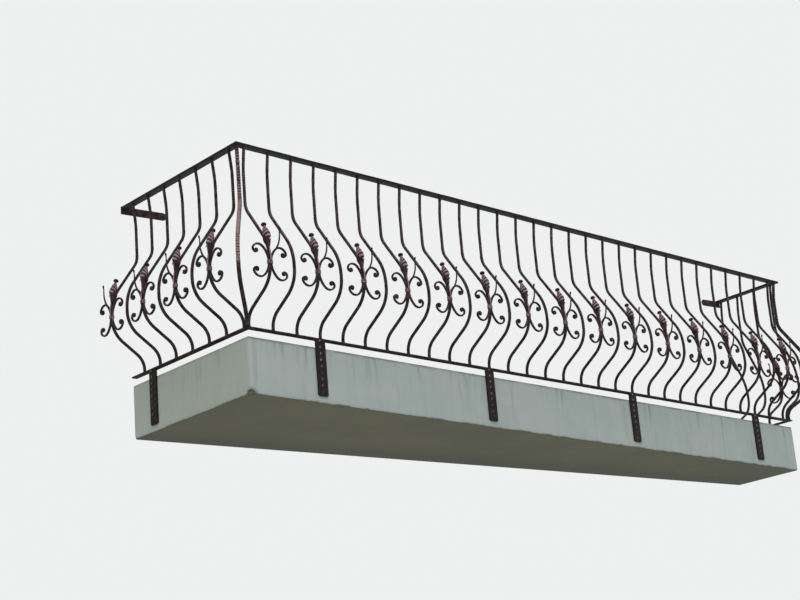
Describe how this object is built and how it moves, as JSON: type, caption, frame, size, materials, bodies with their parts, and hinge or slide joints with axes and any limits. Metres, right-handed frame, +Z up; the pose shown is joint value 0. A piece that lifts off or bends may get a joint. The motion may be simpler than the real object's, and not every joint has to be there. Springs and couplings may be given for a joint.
{
  "type": "wrought iron balcony",
  "caption": "Belly-fronted wrought iron balcony railing with scroll and leaf ornament, carried by flat straps on a concrete slab that a house wall holds.",
  "frame": {"origin": "middle of the face where the slab meets the house wall", "axes": "+Y into the wall, +Z up, +X to the right as seen from outside; the balcony stands out towards -Y"},
  "size_m": [4.5668, 1.1077, 1.203],
  "materials": {
    "iron": "hammered dark brown paint, semi-matt, brushed copper on the high spots",
    "leaf_iron": "dark paint rubbed with copper",
    "concrete": "painted cement render, matt, streaked with dirt"
  },
  "bodies": {
    "root": {"bars_ornate_1": "iron", "bars_ornate_2": "iron", "bars_ornate_3": "iron", "bars_ornate_4": "iron", "bars_ornate_left": "iron", "bars_ornate_right": "iron", "bars_plain_1": "iron", "bars_plain_2": "iron", "bars_plain_3": "iron", "bars_plain_4": "iron", "bars_plain_left": "iron", "bars_plain_right": "iron", "bottom_rail_front": "iron", "bottom_rail_left": "iron", "bottom_rail_right": "iron", "corner_post_left": "iron", "corner_post_right": "iron", "handrail_front": "iron", "handrail_left": "iron", "handrail_right": "iron", "leaves_1": "leaf_iron", "leaves_2": "leaf_iron", "leaves_3": "leaf_iron", "leaves_4": "leaf_iron", "leaves_left": "leaf_iron", "leaves_right": "leaf_iron", "scrolls_1": "iron", "scrolls_2": "iron", "scrolls_3": "iron", "scrolls_4": "iron", "scrolls_left": "iron", "scrolls_right": "iron", "slab": "concrete", "strap_1": "iron", "strap_2": "iron", "strap_3": "iron", "strap_4": "iron", "strap_left": "iron", "strap_right": "iron", "wall_tab_left": "iron", "wall_tab_right": "iron"}
  },
  "joints": []
}
